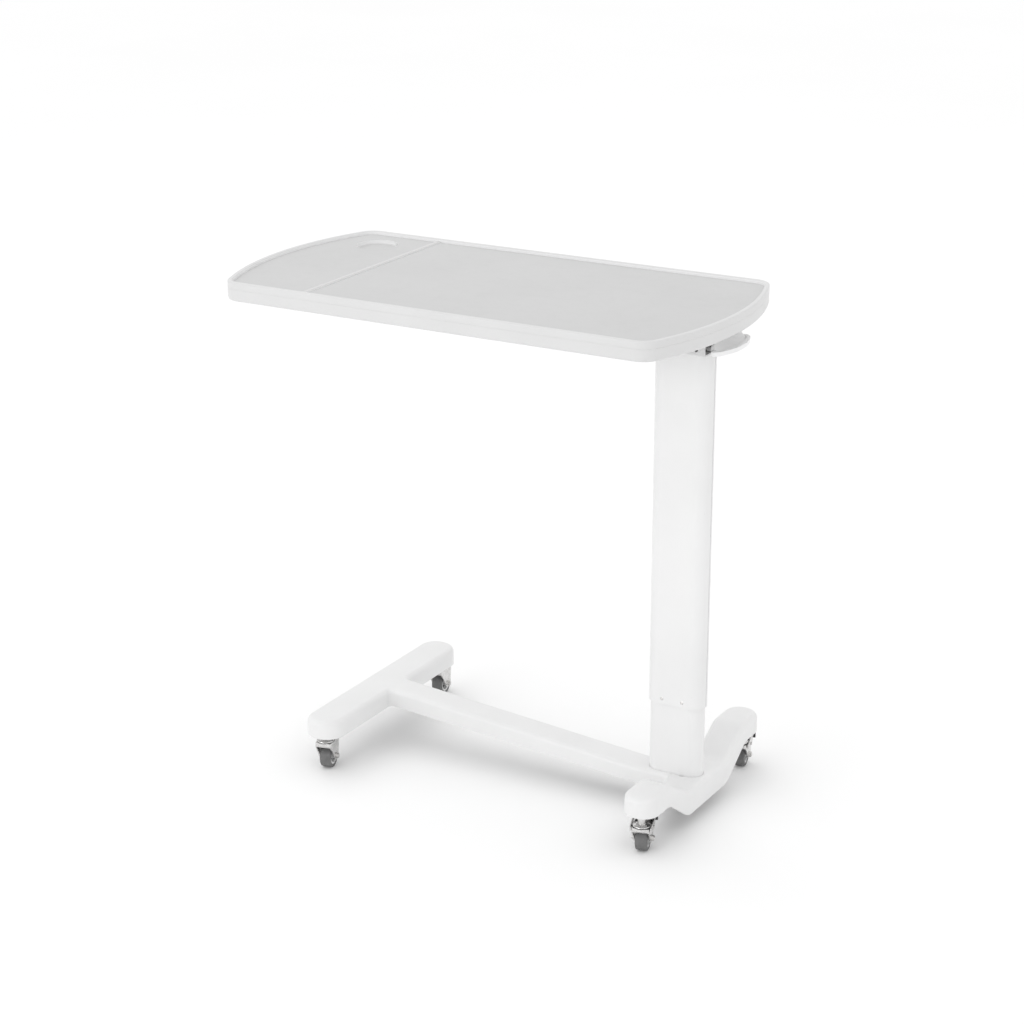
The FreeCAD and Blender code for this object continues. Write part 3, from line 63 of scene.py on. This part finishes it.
# ---------------------------------------------------------------- node graphs
class Surface:
    """One procedural material, with short ways to add nodes to it."""

    def __init__(self, name):
        self.material = bpy.data.materials.new(name)
        self.material.use_nodes = True
        self.nodes = self.material.node_tree.nodes
        self.links = self.material.node_tree.links
        self.shader = self.nodes["Principled BSDF"]
        self.place = self.add("ShaderNodeTexCoord").outputs["Object"]

    def add(self, kind, **settings):
        node = self.nodes.new(kind)
        for key, value in settings.items():
            setattr(node, key, value)
        return node

    def feed(self, socket, value):
        """Links value if it is another node's output, else sets it as a constant."""
        if isinstance(value, bpy.types.NodeSocket):
            self.links.new(value, socket)
        else:
            socket.default_value = value

    def noise(self, scale, detail=3.0, roughness=0.5, vector=None):
        node = self.add("ShaderNodeTexNoise")
        self.feed(node.inputs["Vector"], vector or self.place)
        self.feed(node.inputs["Scale"], scale)
        self.feed(node.inputs["Detail"], detail)
        self.feed(node.inputs["Roughness"], roughness)
        return node.outputs["Fac"]

    def cells(self, scale, smoothness=0.6):
        node = self.add("ShaderNodeTexVoronoi", feature="SMOOTH_F1")
        self.feed(node.inputs["Vector"], self.place)
        self.feed(node.inputs["Scale"], scale)
        self.feed(node.inputs["Smoothness"], smoothness)
        return node.outputs["Distance"]

    def maths(self, operation, a, b=0.0):
        node = self.add("ShaderNodeMath", operation=operation)
        self.feed(node.inputs[0], a)
        self.feed(node.inputs[1], b)
        return node.outputs[0]

    def remap(self, value, low, high, to_low=0.0, to_high=1.0):
        """Value from low..high to to_low..to_high, eased at both ends and clamped."""
        node = self.add("ShaderNodeMapRange", interpolation_type="SMOOTHSTEP")
        for socket, number in zip(node.inputs, (value, low, high, to_low, to_high)):
            self.feed(socket, number)
        return node.outputs[0]

    def mix(self, factor, a, b):
        node = self.add("ShaderNodeMix", data_type="RGBA")
        self.feed(node.inputs[0], factor)
        self.feed(node.inputs[6], a)
        self.feed(node.inputs[7], b)
        return node.outputs[2]

    def mix_number(self, factor, a, b):
        node = self.add("ShaderNodeMix", data_type="FLOAT")
        self.feed(node.inputs[0], factor)
        self.feed(node.inputs[2], a)
        self.feed(node.inputs[3], b)
        return node.outputs[0]

    def stretched(self, x, y, z):
        """The place on the object, scaled along each axis, for grain that runs one way."""
        node = self.add("ShaderNodeMapping")
        self.feed(node.inputs["Vector"], self.place)
        node.inputs["Scale"].default_value = (x, y, z)
        return node.outputs["Vector"]

    def axis(self, vector, letter):
        """The X, Y or Z part of a vector."""
        node = self.add("ShaderNodeSeparateXYZ")
        self.feed(node.inputs[0], vector)
        return node.outputs[letter]

    def flat_normal(self):
        return self.add("ShaderNodeNewGeometry").outputs["True Normal"]

    def dot(self, a, b):
        node = self.add("ShaderNodeVectorMath", operation="DOT_PRODUCT")
        self.feed(node.inputs[0], a)
        self.feed(node.inputs[1], b)
        return node.outputs["Value"]

    def height(self):
        return self.axis(self.place, "Z")

    def facing_up(self):
        """1 on faces that look up, 0 on walls."""
        return self.remap(self.axis(self.flat_normal(), "Z"), 0.90, 0.98)

    def upright(self):
        """1 on walls, 0 on faces that look up or down."""
        return self.remap(self.maths("ABSOLUTE", self.axis(self.flat_normal(), "Z")), 0.6, 0.3)

    def facing_centre(self):
        """Above 0 on walls that look towards the middle of the object, below 0 on outer walls."""
        inward = self.add("ShaderNodeVectorMath", operation="MULTIPLY")
        self.feed(inward.inputs[0], self.place)
        inward.inputs[1].default_value = (-1.0, -1.0, 0.0)
        return self.dot(inward.outputs["Vector"], self.flat_normal())

    def distance_along_x(self, x):
        return self.maths("ABSOLUTE", self.maths("SUBTRACT", self.axis(self.place, "X"), x))

    def product(self, first, *others):
        """All the values multiplied together."""
        result = first
        for other in others:
            result = self.maths("MULTIPLY", result, other)
        return result

    def edges(self, radius, samples=4):
        """Near 1 along edges of the shape, 0 on its flats."""
        round_normal = self.add("ShaderNodeBevel", samples=samples)
        round_normal.inputs["Radius"].default_value = radius
        normal = self.add("ShaderNodeNewGeometry").outputs["Normal"]
        return self.remap(self.dot(round_normal.outputs[0], normal), 0.99, 0.86)

    def bump(self, height, distance, strength=1.0, after=None):
        node = self.add("ShaderNodeBump")
        self.feed(node.inputs["Height"], height)
        self.feed(node.inputs["Distance"], distance)
        self.feed(node.inputs["Strength"], strength)
        if after is not None:
            self.links.new(after, node.inputs["Normal"])
        return node.outputs["Normal"]

    def finish(self, colour, roughness, normal=None, metallic=0.0, **constants):
        self.feed(self.shader.inputs["Base Color"], colour)
        self.feed(self.shader.inputs["Roughness"], roughness)
        self.feed(self.shader.inputs["Metallic"], metallic)
        if normal is not None:
            self.links.new(normal, self.shader.inputs["Normal"])
        for socket, value in constants.items():
            self.shader.inputs[socket.replace("_", " ")].default_value = value
        return self.material


def grey(value, warmth=0.0):
    """A linear grey, a little warm when warmth is above 0 and cool below it."""
    return (value * (1 + warmth), value, value * (1 - warmth), 1.0)


# ---------------------------------------------------------------- materials
def moulded(name, tone, roughness, grain_scale, grain_depth, warmth=0.0):
    """Injection-moulded plastic: faint mottling, satin gloss and a fine spark-eroded grain."""
    s = Surface(name)
    clouds = s.noise(9.0, detail=4.0)
    colour = s.mix(s.remap(clouds, 0.3, 0.7), grey(tone * 0.965, warmth), grey(tone, warmth))
    scuffs = s.noise(55.0, detail=6.0, roughness=0.65)
    dull = s.remap(scuffs, 0.52, 0.72, roughness, roughness + 0.12)
    grain = s.maths("ADD", s.noise(grain_scale, detail=2.0), s.cells(grain_scale * 0.6))
    peel = s.bump(s.noise(42.0, detail=1.0), 0.0006, 0.35)
    normal = s.bump(grain, grain_depth, 0.5, after=peel)
    return s.finish(colour, dull, normal, IOR=1.48)


def tray_divider_top_highlight_mask(s):
    """1 on the top of the divider's low ridge, 0 elsewhere; this top gets a painted highlight, a
    lighter grey than the surface around it.
    """
    near = s.remap(s.distance_along_x(DIVIDER_X), DIVIDER_HALF_WIDTH + 0.0005, DIVIDER_HALF_WIDTH)
    above = s.remap(s.height(), TRAY_FLOOR + 0.0002, TRAY_FLOOR + 0.0006)
    below = s.remap(s.height(), TRAY_FLOOR + DIVIDER_HEIGHT + 0.0004, TRAY_FLOOR + DIVIDER_HEIGHT)
    return s.product(near, above, below, s.maths("SUBTRACT", 1.0, s.upright()))


def tray_inner_wall_highlight_mask(s):
    """1 on the walls of the rim and of the cup recess that look inwards, 0 elsewhere; these walls get
    a painted highlight, a lighter grey as if lit from the front.
    """
    inside = s.remap(s.facing_centre(), -0.02, 0.02)
    above_cup = s.remap(s.height(), TRAY_FLOOR - CUP_DEPTH - 0.002, TRAY_FLOOR - CUP_DEPTH)
    return s.product(inside, above_cup, s.upright())


def tray_sunk_surface(s):
    """1 on level faces below the rim, 0 elsewhere."""
    below_rim = s.remap(s.height(), TRAY_FLOOR + 0.0012, TRAY_FLOOR + 0.0004)
    return s.product(s.facing_up(), below_rim)


def tray_material():
    """Satin rim and walls, with painted highlights on the inner walls and on the divider's top; the
    sunk surface is a greyer, pebbled anti-slip texture.
    """
    s = Surface("tray_plastic")
    sunk = tray_sunk_surface(s)
    clouds = s.remap(s.noise(7.0, detail=4.0), 0.3, 0.7)
    white = s.mix(clouds, grey(0.67), grey(0.69))
    # painted highlight: the inner walls of the rim and cup are painted lighter (0.86), as if lit from
    # the front
    light = s.mix(tray_inner_wall_highlight_mask(s), white, grey(0.86))
    pale = s.mix(clouds, grey(0.575), grey(0.59))
    # painted highlight: the divider's top is painted a lighter grey (0.625) than the sunk surface
    # around it
    colour = s.mix(tray_divider_top_highlight_mask(s), s.mix(sunk, light, pale), grey(0.625))
    scuffs = s.noise(38.0, detail=7.0, roughness=0.7)
    dull = s.remap(scuffs, 0.50, 0.74, 0.34, 0.46)
    roughness = s.mix_number(sunk, dull, s.remap(scuffs, 0.45, 0.7, 0.50, 0.60))
    pebbles = s.maths("ADD", s.cells(620.0), s.noise(900.0, detail=2.0))
    fine = s.noise(1500.0, detail=1.0)
    grain = s.mix_number(sunk, s.maths("MULTIPLY", fine, 0.12), pebbles)
    peel = s.bump(s.noise(30.0, detail=1.0), 0.0006, 0.30)
    normal = s.bump(grain, 0.00022, 0.6, after=peel)
    return s.finish(colour, roughness, normal, IOR=1.48)


def powder_coat(name, tone, roughness=0.36):
    """Powder-coated metal: orange peel over a flat ground, with fine darker specks."""
    s = Surface(name)
    clouds = s.remap(s.noise(6.0, detail=3.0), 0.3, 0.7)
    ground = s.mix(clouds, grey(tone * 0.97), grey(tone))
    specks = s.remap(s.noise(420.0, detail=2.0), 0.74, 0.80)
    colour = s.mix(specks, ground, grey(tone * 0.86))
    gloss = s.remap(s.noise(70.0, detail=4.0), 0.35, 0.7, roughness - 0.03, roughness + 0.05)
    peel = s.bump(s.noise(520.0, detail=2.0), 0.00016, 0.5)
    normal = s.bump(s.noise(60.0, detail=1.0), 0.0004, 0.25, after=peel)
    return s.finish(colour, gloss, normal, IOR=1.5)


def plated(name, tone, roughness, warmth=0.01, edge_highlight_radius=0.0006):
    """Zinc or nickel plate: cloudy passivation, fine scratches and a painted highlight that makes the
    edges brighter.
    """
    s = Surface(name)
    clouds = s.remap(s.noise(140.0, detail=5.0, roughness=0.6), 0.32, 0.68)
    ground = s.mix(clouds, grey(tone * 0.80, warmth), grey(tone, warmth))
    # painted highlight: edges are painted brighter, as if their rounding caught the light
    edge_highlight = s.mix(s.edges(edge_highlight_radius), ground, grey(min(tone * 1.2, 0.95), warmth))
    stains = s.remap(s.noise(60.0, detail=6.0, roughness=0.7), 0.60, 0.74)
    colour = s.mix(s.maths("MULTIPLY", stains, 0.45), edge_highlight, grey(tone * 0.45, warmth * 2))
    scratches = s.noise(90.0, detail=5.0, roughness=0.7, vector=s.stretched(1.0, 1.0, 14.0))
    dull = s.remap(scratches, 0.30, 0.75, roughness, roughness + 0.20)
    normal = s.bump(scratches, 0.00006, 0.5)
    return s.finish(colour, dull, normal, metallic=1.0)


def turned(name, tone, roughness):
    """Ground or turned bright steel: fine rings across the axis."""
    s = Surface(name)
    rings = s.noise(180.0, detail=3.0, vector=s.stretched(0.2, 0.2, 9.0))
    colour = s.mix(rings, grey(tone * 0.88), grey(tone))
    dull = s.remap(rings, 0.3, 0.7, roughness, roughness + 0.10)
    return s.finish(colour, dull, s.bump(rings, 0.00004, 0.5), metallic=1.0)


def frame_primer():
    """Dark primer on welded tube, with scattered patches of pale dust."""
    s = Surface("frame_steel")
    clouds = s.remap(s.noise(28.0, detail=5.0), 0.3, 0.7)
    ground = s.mix(clouds, grey(0.085), grey(0.13))
    colour = s.mix(s.remap(s.noise(160.0, detail=5.0), 0.62, 0.72), ground, grey(0.24, 0.03))
    dull = s.remap(clouds, 0.0, 1.0, 0.50, 0.65)
    return s.finish(colour, dull, s.bump(s.noise(420.0, detail=2.0), 0.0001, 0.6))


def tyre_rubber():
    """Grey non-marking rubber with dust caught in its tread."""
    s = Surface("tyre_rubber")
    clouds = s.remap(s.noise(80.0, detail=5.0), 0.3, 0.7)
    ground = s.mix(clouds, grey(0.125), grey(0.165))
    dust = s.remap(s.noise(260.0, detail=6.0, roughness=0.7), 0.55, 0.72)
    colour = s.mix(s.maths("MULTIPLY", dust, 0.5), ground, grey(0.30, 0.02))
    dull = s.remap(clouds, 0.0, 1.0, 0.55, 0.72)
    grain = s.bump(s.noise(900.0, detail=3.0), 0.00012, 0.6)
    return s.finish(colour, dull, grain, IOR=1.52)


def make_materials():
    return {
        "tray_plastic": tray_material(),
        "base_plastic": moulded("base_plastic", 0.81, 0.33, 1300.0, 0.00010),
        "lever_plastic": moulded("lever_plastic", 0.86, 0.28, 1500.0, 0.00006),
        "column_paint": powder_coat("column_paint", 0.815),
        "bracket_paint": powder_coat("bracket_paint", 0.68, 0.40),
        "frame_steel": frame_primer(),
        "screw_zinc": plated("screw_zinc", 0.72, 0.20, warmth=0.015, edge_highlight_radius=0.0004),
        "pin_steel": turned("pin_steel", 0.52, 0.24),
        "rod_chrome": turned("rod_chrome", 0.66, 0.10),
        "cylinder_black": moulded("cylinder_black", 0.022, 0.30, 900.0, 0.00004),
        "glide_nylon": moulded("glide_nylon", 0.70, 0.42, 1100.0, 0.00006, warmth=0.03),
        "caster_zinc": plated("caster_zinc", 0.74, 0.17),
        "hub_plastic": moulded("hub_plastic", 0.76, 0.34, 1600.0, 0.00006),
        "tyre_rubber": tyre_rubber(),
        "brake_black": moulded("brake_black", 0.018, 0.42, 1200.0, 0.00012),
    }


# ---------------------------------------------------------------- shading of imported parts
def smooth_by_angle_group():
    """A modifier group: welds split corners, then smooths every edge flatter than SMOOTH_BELOW."""
    group = bpy.data.node_groups.new("smooth_flat_edges", "GeometryNodeTree")
    group.interface.new_socket("Geometry", in_out="INPUT", socket_type="NodeSocketGeometry")
    group.interface.new_socket("Geometry", in_out="OUTPUT", socket_type="NodeSocketGeometry")
    add = group.nodes.new
    start = add("NodeGroupInput")
    weld = add("GeometryNodeMergeByDistance")
    weld.inputs["Distance"].default_value = 0.000002
    angle = add("GeometryNodeInputMeshEdgeAngle")
    flat = add("FunctionNodeCompare")
    flat.operation = "LESS_THAN"
    flat.inputs["B"].default_value = SMOOTH_BELOW
    faces = add("GeometryNodeSetShadeSmooth")
    edges = add("GeometryNodeSetShadeSmooth")
    edges.domain = "EDGE"
    end = add("NodeGroupOutput")
    link = group.links.new
    link(start.outputs[0], weld.inputs["Geometry"])
    link(weld.outputs["Geometry"], faces.inputs["Geometry"])
    link(faces.outputs["Geometry"], edges.inputs["Geometry"])
    link(angle.outputs["Unsigned Angle"], flat.inputs["A"])
    link(flat.outputs["Result"], edges.inputs["Shade Smooth"])
    link(edges.outputs["Geometry"], end.inputs[0])
    return group


def dress(node, material, group):
    piece = frame["nodes"][node]
    piece.data.materials.clear()
    piece.data.materials.append(material)
    modifier = piece.modifiers.new("smooth", "NODES")
    modifier.node_group = group


def dress_all(materials):
    group = smooth_by_angle_group()
    for row in frame["record"]["subparts"]:
        dress(row["node"], materials[row["material_slot"]], group)


# ---------------------------------------------------------------- painted shade rings in the wheel hubs
SHADE_RING_PROFILE = (
    # (distance from the wheel's middle plane, radius), metres
    (0.0015, 0.0058), (0.0026, 0.0064), (0.0026, 0.0076), (0.0020, 0.0082),
    (0.0020, 0.0102), (0.0026, 0.0107), (0.0026, 0.0113), (0.0015, 0.0116))
SHADE_RING_STEPS = 72


def turned_ring(shape, side):
    """Adds SHADE_RING_PROFILE turned about the local X axis, on one side of the wheel."""
    rings = []
    for step in range(SHADE_RING_STEPS):
        angle = math.tau * step / SHADE_RING_STEPS
        rings.append([shape.verts.new((side * out, radius * math.cos(angle), radius * math.sin(angle)))
                      for out, radius in SHADE_RING_PROFILE])
    for ring, following in zip(rings, rings[1:] + rings[:1]):
        for low in range(len(SHADE_RING_PROFILE)):
            high = (low + 1) % len(SHADE_RING_PROFILE)
            shape.faces.new((ring[low], ring[high], following[high], following[low]))


def make_hub_recess_shade_ring(name, material):
    """Black ribbed ring deep in the hub recess on both sides of a wheel centre: painted shade that
    makes the recess read dark.
    """
    mesh = bpy.data.meshes.new(f"hub_recess_shade_ring_{name}")
    shape = bmesh.new()
    for side in (-1, 1):
        turned_ring(shape, side)
    bmesh.ops.recalc_face_normals(shape, faces=shape.faces)
    shape.to_mesh(mesh)
    shape.free()
    mesh.materials.append(material)
    shade_ring = bpy.data.objects.new(f"hub_recess_shade_ring_{name}", mesh)
    bpy.context.scene.collection.objects.link(shade_ring)
    joints = {joint["name"]: joint for joint in frame["record"]["behaviour"]["joints"]}
    joint = joints[f"wheel_roll_{name}"]
    shade_ring.location = joint["pos_m"]
    shade_ring.rotation_euler.z = math.atan2(joint["axis"][1], joint["axis"][0])
    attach(shade_ring, f"wheel_{name}")


# ---------------------------------------------------------------- stage
BAND_STRENGTH = 0.75
BAND_HEIGHTS = (0.10, 0.20)
WORLD_STRENGTH = 1.03
FLOOR_RADIUS = 40.0
FLOOR_GAP = 0.0002
LIT_POINT = (0.0, 0.0, 0.45)
CAMERA_PLACE = Vector((1.84928, -3.13725, 1.72450))
CAMERA_AZIMUTH = math.radians(32.19)
CAMERA_DROP = math.radians(19.40)
CAMERA_ROLL = math.radians(-0.73)
CAMERA_LENS = 84.12
CAMERA_SHIFT = (0.0764, -0.0009)


def make_camera():
    data = bpy.data.cameras.new("camera")
    data.lens = CAMERA_LENS
    data.sensor_width = 36.0
    data.shift_x, data.shift_y = CAMERA_SHIFT
    data.clip_end = 60.0
    camera = bpy.data.objects.new("camera", data)
    forward = Vector((
        -math.sin(CAMERA_AZIMUTH) * math.cos(CAMERA_DROP),
        math.cos(CAMERA_AZIMUTH) * math.cos(CAMERA_DROP),
        -math.sin(CAMERA_DROP)))
    right = Vector((math.cos(CAMERA_AZIMUTH), math.sin(CAMERA_AZIMUTH), 0.0))
    up = right.cross(forward)
    turn = Matrix.Rotation(-CAMERA_ROLL, 3, forward)
    axes = Matrix((turn @ right, turn @ up, -forward)).transposed()
    camera.matrix_world = Matrix.Translation(CAMERA_PLACE) @ axes.to_4x4()
    bpy.context.scene.collection.objects.link(camera)
    bpy.context.scene.camera = camera


def make_floor():
    mesh = bpy.data.meshes.new("floor")
    shape = bmesh.new()
    bmesh.ops.create_circle(shape, cap_ends=True, segments=96, radius=FLOOR_RADIUS)
    shape.to_mesh(mesh)
    shape.free()
    floor = bpy.data.objects.new("floor", mesh)
    floor.location.z = -FLOOR_GAP
    s = Surface("floor_paint")
    clouds = s.remap(s.noise(0.7, detail=4.0), 0.3, 0.7)
    colour = s.mix(clouds, grey(0.965), grey(0.975))
    mesh.materials.append(s.finish(colour, 0.9, Specular_IOR_Level=0.0))
    bpy.context.scene.collection.objects.link(floor)


def make_light(name, place, size, power):
    data = bpy.data.lights.new(name, "AREA")
    data.shape = "RECTANGLE"
    data.size, data.size_y = size
    data.energy = power
    light = bpy.data.objects.new(name, data)
    light.location = place
    light.rotation_euler = (Vector(LIT_POINT) - Vector(place)).to_track_quat("-Z", "Y").to_euler()
    bpy.context.scene.collection.objects.link(light)


def make_world():
    """Even white studio, a little greyer at and below the horizon, which metal parts pick up."""
    world = bpy.data.worlds.new("studio")
    world.use_nodes = True
    nodes, link = world.node_tree.nodes, world.node_tree.links.new
    direction = nodes.new("ShaderNodeSeparateXYZ")
    link(nodes.new("ShaderNodeTexCoord").outputs["Generated"], direction.inputs[0])
    band = nodes.new("ShaderNodeMapRange")
    band.interpolation_type = "SMOOTHSTEP"
    link(direction.outputs["Z"], band.inputs["Value"])
    for socket, number in zip(list(band.inputs)[1:5], (*BAND_HEIGHTS, BAND_STRENGTH, WORLD_STRENGTH)):
        socket.default_value = number
    background = nodes["Background"]
    background.inputs["Color"].default_value = grey(1.0)
    link(band.outputs[0], background.inputs["Strength"])
    return world


def make_stage():
    scene = bpy.context.scene
    scene.world = make_world()
    scene.view_settings.view_transform = "Standard"
    make_floor()
    make_light("front", place=(-1.4, -6.0, 2.0), size=(4.0, 2.4), power=54.0)
    make_light("top", place=(-2.0, 1.0, 3.6), size=(2.4, 2.4), power=8.0)
    make_camera()


# ---------------------------------------------------------------- everything
materials = make_materials()
dress_all(materials)
# painted shade: a black ring in each wheel's hub recess makes the recess read dark
for caster in CASTERS:
    make_hub_recess_shade_ring(caster, materials["brake_black"])
make_stage()
